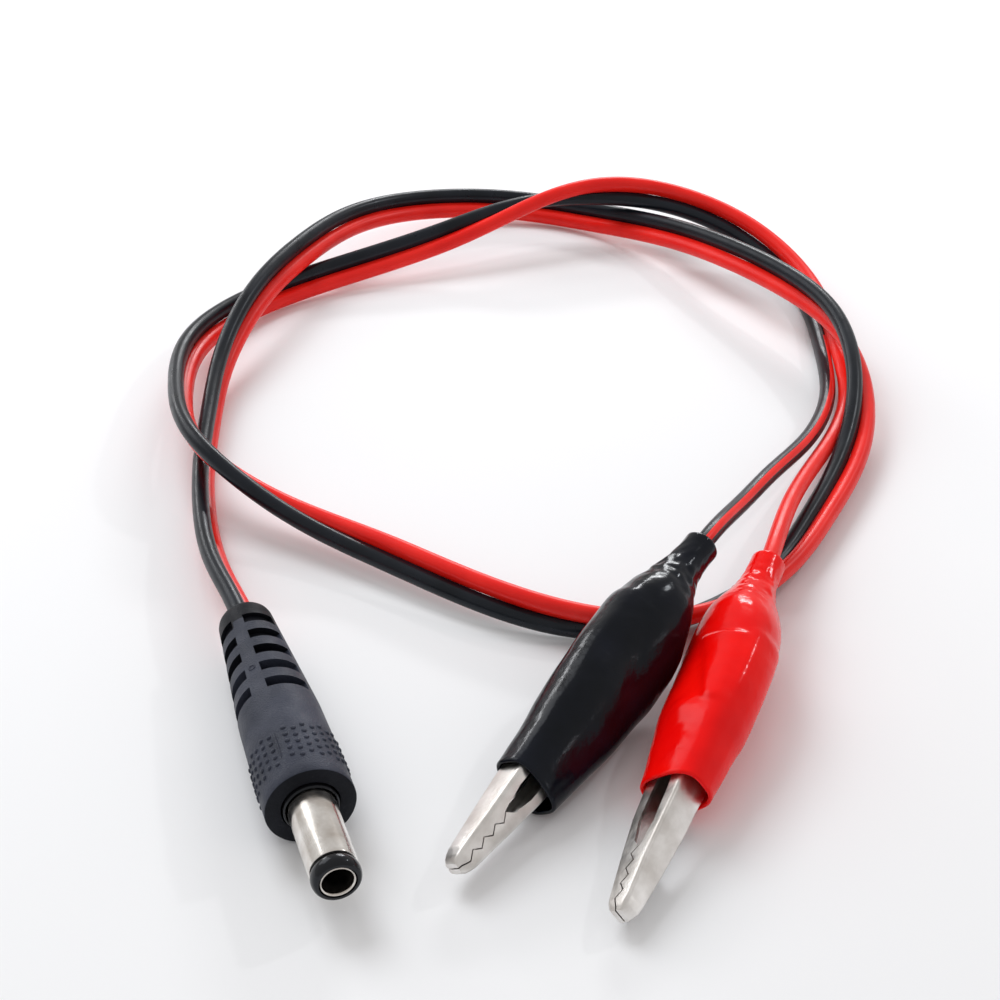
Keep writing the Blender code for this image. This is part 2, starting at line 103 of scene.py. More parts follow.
# The clips: their own +X runs to the jaws' tip, +Z from the fixed jaw to the moving one.
CLIPS = {
    "black": {
        "pivot": (9.0, 1.6, 6.35),
        "heading": -123.2,
        "pitch": 7.8,
        "roll": 35.0,
        "slide": 0.0,
        "mouth": 13.2,
        "mouth_shift": -0.6,
        "neck_shift": 1.4,
    },
    "red": {
        "pivot": (21.5, -2.3, 4.85),
        "heading": -111.15,
        "pitch": 5.4,
        "roll": -53.0,
        "slide": -3.2,
        "mouth": 8.8,
        "mouth_shift": 0.3,
        "neck_shift": -0.9,
    },
}
JAW_WALL = 0.4
JAW_GAP = 0.16
JAW_START = -15
JAW_TIP = 27
TEETH_START = 17.5
TEETH_START_HEIGHT = 0.6
TEETH_END = 26.6
HOLLOW_END = 25.5
TOOTH_FIRST = 25.5
TOOTH_DEPTH = 0.35
TOOTH_POINTS = 8
HOLE_RADIUS = 0.95
ROUND_SIDES = 32
CRIMP_RADIUS = 1.2
CRIMP_BORE = 0.8
CRIMP_LIFT = 0.7
WIRE_END = -22.4
BOOT_WALL = 0.5
BOOT_SIDES = 96
BOOT_RINGS = 160
NECK_END = -28.3
SPRING_WIRE = 0.3
SPRING_RADIUS = 1.45
SPRING_FOOT = (-11.0, 3.4)
SPRING_HALF_WIDTH = 0.95
SPRING_POINTS = 120
SPRING_SIDES = 12

# Millimetres above the pivot for the boot and the spring; the points at these heights are worked out and not
# used.
BOOT_BLEND = (0.0, 2.9)
SPRING_BLEND = (1.5, 2.4)

# The pair's route from the plug's tail: x, y, z and the turn of black-to-red, from left towards up.
PAIR_ROUTE = [
    (-35.6, 29.9, 4.4, 240),
    (-39.0, 43.7, 3.0, 250),
    (-40.5, 56.0, 2.45, 258),
    (-40.8, 68.6, 2.8, 262),
    (-40.2, 80.1, 4.2, 260),
    (-37.2, 91.3, 6.8, 250),
    (-30.4, 107.8, 7.2, 237),
    (-23.2, 119.9, 6.0, 231),
    (-12.6, 128.4, 4.0, 230),
    (0.9, 131.0, 2.6, 231),
    (13.7, 127.2, 2.5, 232),
    (25.5, 118.4, 4.4, 232),
    (33.1, 108.9, 6.4, 234),
    (40.7, 98.5, 7.5, 243),
    (47.1, 87.3, 7.5, 272),
    (49.4, 76.7, 6.4, 300),
    (49.2, 68.2, 4.8, 320),
    (46.5, 57.4, 3.0, 348),
    (40.8, 44.7, 2.2, 368),
    (33.2, 31.5, 2.2, 385),
    (22.6, 23.3, 2.3, 404),
    (11.5, 21.5, 2.6, 446),
    (-0.7, 25.4, 3.2, 488),
    (-15.2, 34.9, 3.5, 512),
    (-29.9, 44.3, 4.8, 566),
    (-39.9, 52.9, 7.3, 602),
    (-45.0, 69.5, 5.6, 604),
    (-44.6, 87.0, 3.6, 592),
    (-36.8, 100.6, 2.4, 590),
    (-23.6, 109.4, 3.0, 590),
    (-8.5, 115.9, 5.3, 575),
    (6.4, 122.6, 8.0, 505),
    (21.7, 125.4, 7.6, 428),
    (37.1, 118.6, 4.9, 411),
    (45.5, 105.1, 2.4, 402),
    (47.3, 87.6, 2.3, 394),
]
SPLIT_ROUTE = {
    "black": [(45.1, 71.8, 3.1), (40.5, 58.4, 4.8), (34.8, 48.0, 6.8), (29.9, 38.5, 8.6)],
    "red": [(47.8, 72.1, 2.5), (44.3, 61.3, 2.9), (40.4, 52.3, 4.2), (36.3, 41.4, 6.0)],
}

# Half-widths of a boot: x, along the squeeze, across it, and how square the section is.
BOOT_SECTIONS = [
    (-28.3, 2.2, 2.2, 2.0),
    (-25.2, 2.2, 2.2, 2.0),
    (-23.3, 2.4, 2.35, 2.0),
    (-21.0, 3.1, 3.0, 2.0),
    (-17.5, 4.5, 4.3, 2.1),
    (-15.0, 5.3, 4.4, 2.2),
    (-12.0, 5.7, 4.2, 2.4),
    (-6.0, 5.75, 3.8, 2.7),
    (-2.0, 5.6, 3.9, 2.9),
    (2.5, 5.2, 3.9, 3.0),
    (6.5, 4.7, 3.5, 3.0),
    (10.0, 4.3, 3.2, 3.0),
    (13.2, 4.0, 2.95, 3.0),
]

# A jaw along its length: its back's height, the moving and the fixed one's half-width, its edge's height.
JAW_BACK = [
    (-15, 4.0), (-12, 4.3), (-5, 3.75), (0, 3.2), (6, 2.85), (10, 2.65),
    (14, 2.45), (20, 1.9), (25.3, 1.45), (26.6, 1.1), (27, 0.65),
]
JAW_FRONT_HALF = [(10, 2.0), (14, 2.0), (20, 1.75), (26, 1.3), (27, 0.9)]
OUTER_HALF = [(-15, 1.9), (-6, 2.2), (-2, 2.4), (6, 2.4), (10, 2.05), *JAW_FRONT_HALF[1:]]
INNER_HALF = [(-15, 1.8), (-3, 1.85), (6, 1.85), *JAW_FRONT_HALF]
JAW_EDGE = [
    (-15, 3.2), (-12, 3.4), (-9, 2.9), (-6, 2.0), (-4.4, 0.4), (-3, -1.6), (-1.2, -2.4),
    (1.2, -2.4), (3.2, -1.7), (5, -0.4), (6.5, 0.9), (8, 1.15), (15, 1.1), (17.5, 0.6),
]

CAMERA_SPOT = (-0.7, -192.4, 170.7)
CAMERA_TILT = 35.0
CAMERA_LENS = 80.3

# Lights: azimuth, elevation, distance in metres, size in metres, power in watts and colour.
MIDDLE = (0, 0.03, 0)
LIGHTS = {
    "window": (122, 48, 0.75, (0.36, 0.36), 2.5, (0.95, 0.975, 1.0)),
    "strip": (82, 22, 0.60, (0.20, 0.045), 0.75, (1, 1, 1)),
    "low_strip": (124, 13, 0.60, (0.10, 0.05), 0.16, (1, 1, 1)),
    "panel": (140, 34, 0.70, (0.40, 0.40), 0.85, (1, 1, 1)),
    "side_lamp": (-8, 7, 0.60, (0.04, 0.02), 0.05, (1, 1, 1)),
    "lamp": (35, 38, 0.55, (0.022, 0.022), 0.24, (1, 1, 1)),
}


# ---------------------------------------------------------------- camera, lights and floor


def build_camera():
    data = bpy.data.cameras.new("camera")
    data.lens = CAMERA_LENS
    data.sensor_width = 36
    data.clip_start = 0.005
    camera = bpy.data.objects.new("camera", data)
    camera.location = Vector(CAMERA_SPOT) * MM
    camera.rotation_euler = (math.radians(90 - CAMERA_TILT), 0, 0)
    bpy.context.scene.collection.objects.link(camera)
    bpy.context.scene.camera = camera


def add_area_light(name, azimuth, elevation, distance, size, power, colour):
    spot = spot_towards(azimuth, elevation, distance)
    data = bpy.data.lights.new(name, "AREA")
    data.shape = "RECTANGLE"
    data.size, data.size_y = size
    data.energy = power
    data.color = colour
    light = bpy.data.objects.new(name, data)
    light.location = spot
    light.rotation_euler = (Vector(MIDDLE) - Vector(spot)).to_track_quat("-Z", "Y").to_euler()
    bpy.context.scene.collection.objects.link(light)
    return light


def spot_towards(azimuth, elevation, distance):
    """A place in a direction from MIDDLE, in degrees and metres."""
    flat = math.cos(math.radians(elevation)) * distance
    across, along = math.cos(math.radians(azimuth)), math.sin(math.radians(azimuth))
    return (flat * across, MIDDLE[1] + flat * along, math.sin(math.radians(elevation)) * distance)


def build_light():
    """A pale room with large soft lights and strips behind on the left, and small lamps for the glints."""
    world = bpy.data.worlds.new("studio")
    world.use_nodes = True
    background = world.node_tree.nodes["Background"]
    background.inputs["Color"].default_value = (1.0, 0.975, 0.955, 1)
    background.inputs["Strength"].default_value = 0.60
    bpy.context.scene.world = world
    lights = {name: add_area_light(name, *row) for name, row in LIGHTS.items()}
    lights["window"].visible_glossy = False
    bpy.context.scene.view_settings.view_transform = "Standard"


def build_floor():
    built = bmesh.new()
    bmesh.ops.create_grid(built, x_segments=1, y_segments=1, size=3.0)
    mesh = bpy.data.meshes.new("floor")
    built.to_mesh(mesh)
    built.free()
    floor = bpy.data.objects.new("floor", mesh)
    bpy.context.scene.collection.objects.link(floor)
    material, _ = new_shader("floor_white", (0.86, 0.87, 0.89), 0.75)
    mesh.materials.append(material)


# ---------------------------------------------------------------- materials


def new_shader(name, colour, roughness, metallic=0.0):
    """A new material and its Principled shader."""
    material = bpy.data.materials.new(name)
    material.use_nodes = True
    shader = material.node_tree.nodes["Principled BSDF"]
    shader.inputs["Base Color"].default_value = (*colour, 1)
    shader.inputs["Roughness"].default_value = roughness
    shader.inputs["Metallic"].default_value = metallic
    return material, shader


def add_noise(tree, scale, detail, stretch=(1, 1, 1)):
    """Noise in the piece's own coordinates; scale is in features per metre."""
    place = tree.nodes.new("ShaderNodeTexCoord")
    mapping = tree.nodes.new("ShaderNodeMapping")
    mapping.inputs["Scale"].default_value = stretch
    made = tree.nodes.new("ShaderNodeTexNoise")
    made.inputs["Scale"].default_value = scale
    made.inputs["Detail"].default_value = detail
    tree.links.new(place.outputs["Object"], mapping.inputs["Vector"])
    tree.links.new(mapping.outputs["Vector"], made.inputs["Vector"])
    return made.outputs["Fac"]


def remap(tree, value, low, high):
    """Spreads the middle of a noise value over low to high."""
    made = tree.nodes.new("ShaderNodeMapRange")
    made.inputs["From Min"].default_value = 0.3
    made.inputs["From Max"].default_value = 0.7
    made.inputs["To Min"].default_value = low
    made.inputs["To Max"].default_value = high
    tree.links.new(value, made.inputs["Value"])
    return made.outputs["Result"]


def tint(tree, value, first, second, socket):
    """Feeds a socket a colour between first and second, chosen by value."""
    ramp = tree.nodes.new("ShaderNodeValToRGB")
    ramp.color_ramp.elements[0].position = 0.32
    ramp.color_ramp.elements[0].color = (*first, 1)
    ramp.color_ramp.elements[1].position = 0.68
    ramp.color_ramp.elements[1].color = (*second, 1)
    tree.links.new(value, ramp.inputs["Fac"])
    tree.links.new(ramp.outputs["Color"], socket)


def add_bump(tree, shader, heights):
    """Chains bumps from (height output, strength, depth in metres)."""
    last = None
    for height, strength, depth in heights:
        bump = tree.nodes.new("ShaderNodeBump")
        bump.inputs["Strength"].default_value = strength
        bump.inputs["Distance"].default_value = depth
        tree.links.new(height, bump.inputs["Height"])
        if last:
            tree.links.new(last, bump.inputs["Normal"])
        last = bump.outputs["Normal"]
    tree.links.new(last, shader.inputs["Normal"])


def plastic(name, dark, light, rough, bumps, grain, shine, scatter=0.0):
    """Moulded or extruded plastic: slow colour drift, patchy gloss and a surface grain."""
    material, shader = new_shader(name, light, rough[0])
    tree = material.node_tree
    drift = add_noise(tree, 160, 5)
    tint(tree, drift, dark, light, shader.inputs["Base Color"])
    patches = add_noise(tree, 420, 6)
    tree.links.new(remap(tree, patches, *rough), shader.inputs["Roughness"])
    heights = [(add_noise(tree, scale, 3), strength, depth) for scale, strength, depth in bumps]
    heights.append((add_noise(tree, grain[0], 2), grain[1], grain[2]))
    add_bump(tree, shader, heights)
    shader.inputs["Specular IOR Level"].default_value = shine
    shader.inputs["Specular Tint"].default_value = (0.86, 0.92, 1, 1)
    if scatter:
        shader.inputs["Subsurface Weight"].default_value = scatter
        shader.inputs["Subsurface Radius"].default_value = (1.0, 0.2, 0.1)
        shader.inputs["Subsurface Scale"].default_value = 0.0008
    return material


def metal(name, dark, light, rough, stretch, scratch=0.25):
    """Plated metal: faint tarnish, drawn streaks along one way and small dings."""
    material, shader = new_shader(name, light, rough[0], 1.0)
    tree = material.node_tree
    tarnish = add_noise(tree, 350, 6)
    tint(tree, tarnish, dark, light, shader.inputs["Base Color"])
    streaks = add_noise(tree, 900, 5, stretch)
    tree.links.new(remap(tree, streaks, *rough), shader.inputs["Roughness"])
    grain = add_noise(tree, 2600, 3, stretch)
    dings = add_noise(tree, 1500, 2)
    add_bump(tree, shader, [(dings, 0.2, 0.00003), (grain, scratch, 0.00002)])
    return material


def build_materials():
    soft = [(260, 0.35, 0.0004), (900, 0.2, 0.00012)]
    return {
        "overmold": plastic(
            "charcoal_moulding", (0.018, 0.021, 0.033), (0.042, 0.047, 0.070), (0.42, 0.60),
            [(700, 0.2, 0.0001)], (5200, 0.9, 0.00009), shine=0.3,
        ),
        # A near-black moulding for the front face and the bore walls: painted shade, because these faces
        # turn away from the lights.
        "shaded_front_and_bore": plastic(
            "painted_shade_front_and_bore", (0.003, 0.003, 0.005), (0.009, 0.010, 0.014), (0.40, 0.60),
            [(700, 0.2, 0.0001)], (5200, 0.6, 0.00006), shine=0.15,
        ),
        "insulator": plastic(
            "black_insulator", (0.002, 0.002, 0.003), (0.006, 0.006, 0.007), (0.10, 0.22),
            [(900, 0.3, 0.0001)], (6000, 0.1, 0.00001), shine=0.35,
        ),
        "black_boot": plastic(
            "black_soft_pvc", (0.001, 0.0015, 0.003), (0.004, 0.005, 0.010), (0.10, 0.22),
            soft, (5200, 0.3, 0.00003), shine=0.22,
        ),
        "red_boot": plastic(
            "red_soft_pvc", (0.80, 0.001, 0.001), (0.92, 0.003, 0.001), (0.10, 0.22),
            soft, (5200, 0.2, 0.00003), shine=0.2, scatter=0.1,
        ),
        "black_wire": plastic(
            "black_wire_pvc", (0.002, 0.003, 0.005), (0.008, 0.010, 0.015), (0.26, 0.38),
            [(500, 0.2, 0.0001)], (6000, 0.3, 0.00002), shine=0.3,
        ),
        "red_wire": plastic(
            "red_wire_pvc", (0.78, 0.008, 0.004), (0.90, 0.018, 0.010), (0.28, 0.40),
            [(500, 0.2, 0.0001)], (6000, 0.3, 0.00002), shine=0.3, scatter=0.06,
        ),
        "jaw": metal("nickel_sheet", (0.64, 0.61, 0.58), (0.88, 0.86, 0.84), (0.28, 0.46), (0.6, 1, 1), 0.8),
        "turned": metal(
            "nickel_turned", (0.60, 0.55, 0.50), (0.92, 0.90, 0.87), (0.12, 0.28), (1, 1, 0.25), 0.15,
        ),
        # Dark metal for the inside of the contact tube: painted shade deep in the bore.
        "bore": metal("painted_shade_bore_metal", (0.06, 0.055, 0.05), (0.16, 0.15, 0.14), (0.35, 0.55), (1, 1, 1)),
        "wire_steel": metal("spring_wire", (0.30, 0.30, 0.31), (0.48, 0.48, 0.50), (0.28, 0.42), (1, 1, 1)),
        "copper": metal("copper_strand", (0.50, 0.20, 0.10), (0.82, 0.40, 0.24), (0.30, 0.45), (1, 1, 1)),
    }


# ---------------------------------------------------------------- mesh helpers


def value_at(table, x):
    """The value at x in a table of (x, value) rows."""
    return float(np.interp(x, [row[0] for row in table], [row[1] for row in table]))


def link(name, mesh, materials, matrix):
    made = bpy.data.objects.new(name, mesh)
    bpy.context.scene.collection.objects.link(made)
    for material in materials:
        mesh.materials.append(material)
    if matrix:
        made.matrix_world = matrix
    return made


def mesh_from(name, points, faces, materials, matrix, smooth=True, sharp=40):
    """An object from millimetre points; faces are index tuples, or (tuple, material number)."""
    mesh = bpy.data.meshes.new(name)
    plain = [face[0] if isinstance(face[0], tuple) else face for face in faces]
    mesh.from_pydata([tuple(Vector(point) * MM) for point in points], [], plain)
    for polygon, face in zip(mesh.polygons, faces):
        if isinstance(face[0], tuple):
            polygon.material_index = face[1]
    built = bmesh.new()
    built.from_mesh(mesh)
    bmesh.ops.recalc_face_normals(built, faces=built.faces)
    built.to_mesh(mesh)
    built.free()
    if smooth:
        mesh.shade_smooth()
        mesh.set_sharp_from_angle(angle=math.radians(sharp))
    return link(name, mesh, materials, matrix)


def ring_faces(rings, sides, closed=False, number=None):
    """Quads between consecutive rings of the same number of points."""
    faces = []
    count = rings if closed else rings - 1
    for row in range(count):
        low, high = row * sides, ((row + 1) % rings) * sides
        for i in range(sides):
            j = (i + 1) % sides
            quad = (low + i, low + j, high + j, high + i)
            faces.append((quad, number(row, i)) if number else quad)
    return faces


def lofted(name, rings, materials, matrix, number=None, sharp=40):
    """A skin over consecutive rings, closed by a flat face at each end."""
    sides = len(rings[0])
    points = [point for ring in rings for point in ring]
    faces = ring_faces(len(rings), sides, number=number)
    first = tuple(range(sides))
    last = tuple(range(len(points) - sides, len(points)))
    faces += [(first, 0), (last, 0)] if number else [first, last]
    return mesh_from(name, points, faces, materials, matrix, sharp=sharp)


def turned(name, profile, materials, matrix, closed=True, steps=96, number=None, sharp=40):
    """Turns (radius, height) points about the matrix's Z."""
    points = []
    for i in range(steps):
        angle = 2 * math.pi * i / steps
        points += [(r * math.cos(angle), r * math.sin(angle), h) for r, h in profile]
    sides = len(profile)
    faces = []
    for i in range(steps):
        low, high = i * sides, ((i + 1) % steps) * sides
        for k in range(sides if closed else sides - 1):
            m = (k + 1) % sides
            quad = (low + k, low + m, high + m, high + k)
            faces.append((quad, number(k)) if number else quad)
    made = mesh_from(name, points, faces, materials, matrix, sharp=sharp)
    built = bmesh.new()
    built.from_mesh(made.data)
    bmesh.ops.remove_doubles(built, verts=built.verts, dist=1e-7)
    built.to_mesh(made.data)
    built.free()
    made.data.set_sharp_from_angle(angle=math.radians(sharp))
    return made


def rounded(points, radii, steps):
    """An outline of (x, y) points with each corner that has a radius turned into an arc."""
    out = []
    count = len(points)
    for i, point in enumerate(points):
        here = Vector(point)
        before = Vector(points[i - 1]) - here
        after = Vector(points[(i + 1) % count]) - here
        size = min(radii[i], before.length * 0.45, after.length * 0.45)
        if size <= 1e-4:
            out.append(tuple(here))
            continue
        start = here + before.normalized() * size
        end = here + after.normalized() * size
        for k in range(steps + 1):
            t = k / steps
            out.append(tuple(start * (1 - t) ** 2 + here * 2 * t * (1 - t) + end * t**2))
    return out


def cut(target, cutter, operation="DIFFERENCE"):
    """Applies a Boolean with cutter, then removes it."""
    modifier = target.modifiers.new("cut", "BOOLEAN")
    modifier.operation = operation
    modifier.solver = "EXACT"
    modifier.object = cutter
    apply_modifiers(target)
    bpy.data.objects.remove(cutter)


def apply_modifiers(target):
    """Puts the evaluated mesh in place of the modifiers."""
    graph = bpy.context.evaluated_depsgraph_get()
    graph.update()
    mesh = bpy.data.meshes.new_from_object(target.evaluated_get(graph), depsgraph=graph)
    target.modifiers.clear()
    target.data = mesh


def soften(target, angle):
    """Rounds the edges that turn by more than an angle in degrees, then shades them smoothly."""
    bevel = target.modifiers.new("soft_edges", "BEVEL")
    bevel.width = SOFT_EDGE * MM
    bevel.segments = 2
    bevel.limit_method = "ANGLE"
    bevel.angle_limit = math.radians(angle)
    bevel.harden_normals = True
    apply_modifiers(target)


def smooth_curve(points, count):
    """Count points, evenly spaced, on the natural cubic spline through points of any dimension."""
    points = np.array(points, float)
    knots = np.concatenate([[0], np.cumsum(np.linalg.norm(np.diff(points[:, :3], axis=0), axis=1))])
    gaps = np.diff(knots)
    size = len(points)
    system = np.eye(size)
    right = np.zeros_like(points)
    for i in range(1, size - 1):
        system[i, i - 1 : i + 2] = gaps[i - 1], 2 * (gaps[i - 1] + gaps[i]), gaps[i]
        right[i] = 6 * ((points[i + 1] - points[i]) / gaps[i] - (points[i] - points[i - 1]) / gaps[i - 1])
    bends = np.linalg.solve(system, right)

    def at(place):
        i = min(int(np.searchsorted(knots, place, side="right")) - 1, size - 2)
        before, after = place - knots[i], knots[i + 1] - place
        return (
            (bends[i] * after**3 + bends[i + 1] * before**3) / (6 * gaps[i])
            + (points[i] / gaps[i] - bends[i] * gaps[i] / 6) * after
            + (points[i + 1] / gaps[i] - bends[i + 1] * gaps[i] / 6) * before
        )

    fine = np.array([at(place) for place in np.linspace(0, knots[-1], 60 * size)])
    along = np.concatenate([[0], np.cumsum(np.linalg.norm(np.diff(fine[:, :3], axis=0), axis=1))])
    wanted = np.linspace(0, along[-1], count)
    return np.column_stack([np.interp(wanted, along, fine[:, k]) for k in range(points.shape[1])])


def unit(rows):
    """Each row scaled to length 1."""
    return rows / np.linalg.norm(rows, axis=1)[:, None]


def full_turn(count):
    """Count angles, evenly spaced round a circle."""
    return [2 * math.pi * i / count for i in range(count)]


# ---------------------------------------------------------------- where things are


def plug_matrix():
    heading = Matrix.Rotation(math.radians(PLUG_HEADING), 4, "Z")
    return Matrix.Translation(Vector(PLUG_FRONT) * MM) @ heading @ Matrix.Rotation(math.pi / 2, 4, "Y")


def clip_matrix(colour):
    clip = CLIPS[colour]
    matrix = Matrix.Translation(Vector(clip["pivot"]) * MM)
    for key, axis in (("heading", "Z"), ("pitch", "Y"), ("roll", "X")):
        matrix = matrix @ Matrix.Rotation(math.radians(clip[key]), 4, axis)
    return matrix


def world_mm(matrix, point):
    """A millimetre point of a local frame, as a millimetre point of the scene."""
    return tuple((matrix @ (Vector(point) * MM)) / MM)


def crimp_centre(colour):
    """Height of the crimped wire above the clip's own middle."""
    return CLIPS[colour]["neck_shift"] * CRIMP_LIFT


# ---------------------------------------------------------------- the cord


def pair_samples():
    """Evenly spaced (x, y, z, turn) rows of the joined pair, from inside the plug to the split."""
    plug = plug_matrix()
    inside = [(*world_mm(plug, (0, 0, height)), PAIR_ROUTE[0][3]) for height in (-19.0, -27.0, -36.0)]
    route = inside + PAIR_ROUTE
    spread = sum(math.dist(a[:3], b[:3]) for a, b in zip(route, route[1:]))
    return smooth_curve(route, round(spread / CORD_STEP))


def conductor(colour, samples):
    """(centres, directions towards the web, number of joined samples) of one wire, in millimetres."""
    side = 1 if colour == "red" else -1
    centres = samples[:, :3]
    forward = unit(np.gradient(centres, axis=0))
    left = unit(np.column_stack([-forward[:, 1], forward[:, 0], np.zeros(len(forward))]))
    up = np.cross(forward, left)
    turn = np.radians(samples[:, 3])[:, None]
    across = np.cos(turn) * left + np.sin(turn) * up
    joined = centres + side * WIRE_OFFSET * across
    values = CLIPS[colour]
    clip = clip_matrix(colour)
    ends = ((NECK_END + values["slide"], 0, values["neck_shift"]), (WIRE_END, 0, crimp_centre(colour)))
    into = [world_mm(clip, point) for point in ends]
    back = round(8 / CORD_STEP)
    route = [tuple(joined[-1 - 2 * back]), tuple(joined[-1 - back]), tuple(joined[-1])]
    route += SPLIT_ROUTE[colour] + into
    spread = sum(math.dist(a, b) for a, b in zip(route, route[1:]))
    tail = smooth_curve(route, round(spread / CORD_STEP))
    reach = math.dist(route[0], route[2])
    tail = np.array([point for point in tail if math.dist(point, route[0]) > reach + 0.6])
    points = np.vstack([joined, tail])
    towards_web = -side * across[-1]
    webs = list(-side * across)
    heading = unit(np.gradient(points, axis=0))
    for i in range(len(joined), len(points)):
        share = min((i - len(joined)) * CORD_STEP / 16.0, 1.0)
        wanted = towards_web * (1 - share) + np.array((0.30, -0.62, 0.72)) * share
        wanted = wanted - heading[i] * (wanted @ heading[i])
        webs.append(wanted / np.linalg.norm(wanted))
    return points, np.array(webs), len(joined)


def build_conductor(colour, samples, stuff):
    """A round wire with half the web along one side; past the split a torn strip of web stays on."""
    points, webs, joined = conductor(colour, samples)
    heading = unit(np.gradient(points, axis=0))
    rings = []
    for i, (centre, web) in enumerate(zip(points, webs)):
        web = web - heading[i] * (web @ heading[i])
        web /= np.linalg.norm(web)
        third = np.cross(heading[i], web)
        past = (i - joined) * CORD_STEP
        keep = 1.0 if past < 0 else max(0.0, 1 - past / WEB_TEAR)
        ring = []
        for k in range(WIRE_SIDES):
            angle = 2 * math.pi * (k + 0.5) / WIRE_SIDES
            radius = WIRE_RADIUS
            if abs((angle + math.pi) % (2 * math.pi) - math.pi) < math.radians(WEB_HALF_ANGLE):
                radius += keep * (WEB_REACH / math.cos(angle) - WIRE_RADIUS)
                if past >= 0:
                    radius += WEB_RIDGE * (1 - keep)
            ring.append(tuple(centre + radius * (math.cos(angle) * web + math.sin(angle) * third)))
        rings.append(ring)

    def number(row, side):
        stripe = colour == "black" and row > joined - 4 and (side < 2 or side > WIRE_SIDES - 3)
        return 1 if stripe else 0

    materials = [stuff[colour + "_wire"], stuff["red_wire"]]
    wire = lofted("cord_" + colour + "_insulated", rings, materials, None, number=number, sharp=60)
    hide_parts("cord_" + colour)
    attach(wire, "lead")
    path = [tuple(point * MM) for point in points]
    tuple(path[0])


# ---------------------------------------------------------------- the plug


def overmold_radius(height):
    return value_at(PLUG_OUTLINE, height)


def build_overmold(stuff):
    """The tapered body with its slots, front bore and cord channel."""
    plug = plug_matrix()
    profile = [(0, BORE_FLOOR), (3.0, BORE_FLOOR), (3.0, BORE_STEP), (3.35, BORE_STEP), (3.35, 0)]
    profile += [(5.02, 0), (5.1, -0.04), (5.15, -0.13)]
    profile += [(overmold_radius(h), h) for h in np.linspace(-1.5, -32.6, 30)]
    profile += [(3.3, -33.1), (3.2, -33.45), (3.05, -33.7), (2.85, -PLUG_LENGTH), (0, -PLUG_LENGTH)]
    body = turned("plug_body", profile, [stuff["overmold"]], plug, closed=False, steps=144)
    cut(body, cord_channel(plug))
    cut(body, slot_cutter(plug))
    soften(body, angle=50)
    # The faces at the front and round the bore take the near-black moulding, which paints in their shade.
    body.data.materials.append(stuff["shaded_front_and_bore"])
    for face in body.data.polygons:
        front = face.normal.z > 0.7 and face.center.z > -0.2 * MM
        if front or face.center.to_2d().length < 3.55 * MM:
            face.material_index = 1
    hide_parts("plug_overmold")
    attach(body, "lead")


def cord_channel(plug):
    """A cutter for the hole that both wires enter by, turned the way the pair is turned there."""
    roll = math.radians(PAIR_ROUTE[0][3])
    across = math.atan2(-math.cos(roll), -math.sin(roll))
    radius = WIRE_RADIUS + CHANNEL_CLEARANCE
    outline = []
    for side in (1, -1):
        for i in range(15):
            angle = math.pi * (i / 14 - 0.5) + (0 if side > 0 else math.pi)
            outline.append((side * WIRE_OFFSET + radius * math.cos(angle), radius * math.sin(angle)))
    swung = [
        (x * math.cos(across) - y * math.sin(across), x * math.sin(across) + y * math.cos(across))
        for x, y in outline
    ]
    return lofted("channel", [[(x, y, height) for x, y in swung] for height in (-36, -19)], [], plug)


def slot_cutter(plug):
    """One cutter for all the flexing slots."""
    points, faces = [], []
    for row in range(SLOT_ROWS):
        middle = SLOT_FIRST + row * SLOT_PITCH
        inside = max(overmold_radius(middle) - SLOT_DEPTH, SLOT_LEAST_RADIUS)
        for column in range(SLOT_COLUMNS):
            centre = RIB_ANGLE + (column + 0.5) * 360 / SLOT_COLUMNS
            angles = [math.radians(centre + SLOT_SPAN * (i / 16 - 0.5)) for i in range(17)]
            arc = [(inside, a) for a in angles] + [(6.5, a) for a in reversed(angles)]
            start = len(points)
            for height in (middle - SLOT_WIDTH / 2, middle + SLOT_WIDTH / 2):
                points += [(r * math.cos(a), r * math.sin(a), height) for r, a in arc]
            count = len(arc)
            faces.append(tuple(range(start, start + count)))
            faces.append(tuple(range(start + count, start + 2 * count)))
            faces += [tuple(start + k for k in quad) for quad in ring_faces(2, count)]
    return mesh_from("slot_cutter", points, faces, [], plug, smooth=False)


def build_grip(stuff):
    """Raised dots in staggered rows, a thin line along each mould seam and one small pin mark."""
    plug = plug_matrix()
    built = bmesh.new()

    def place(angle, height, size):
        radius = overmold_radius(height)
        spot = Matrix.Translation(
            (radius * math.cos(angle) * MM, radius * math.sin(angle) * MM, height * MM)
        )
        return spot @ Matrix.Rotation(angle, 4, "Z") @ Matrix.Diagonal((*[s * MM for s in size], 1))

    def add_dot(matrix):
        bmesh.ops.create_icosphere(built, subdivisions=2, radius=1, matrix=matrix)

    for seam in (0, 180):
        for column in range(DOT_COLUMNS):
            angle = math.radians(RIB_ANGLE + seam + DOT_FIRST_ANGLE + column * DOT_ANGLE_STEP)
            for row in range(DOT_ROWS):
                height = DOT_FIRST - row * DOT_PITCH - DOT_STAGGER * (column % 2)
                add_dot(place(angle, height, DOT_SIZE))
        angle = math.radians(RIB_ANGLE + seam)
        line = place(angle, SEAM_MIDDLE, SEAM_SIZE)
        bmesh.ops.create_uvsphere(built, u_segments=10, v_segments=16, radius=1, matrix=line)
        for turn in range(12):
            around = turn * math.pi / 6
            aside = PIN_MARK_RADIUS * math.cos(around) / 4.2
            height = PIN_MARK + PIN_MARK_RADIUS * math.sin(around)
            add_dot(place(angle + aside, height, PIN_MARK_SIZE))
    mesh = bpy.data.meshes.new("plug_grip")
    built.to_mesh(mesh)
    built.free()
    mesh.shade_smooth()
    grip = link("plug_grip", mesh, [stuff["overmold"]], plug)
    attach(grip, "lead")


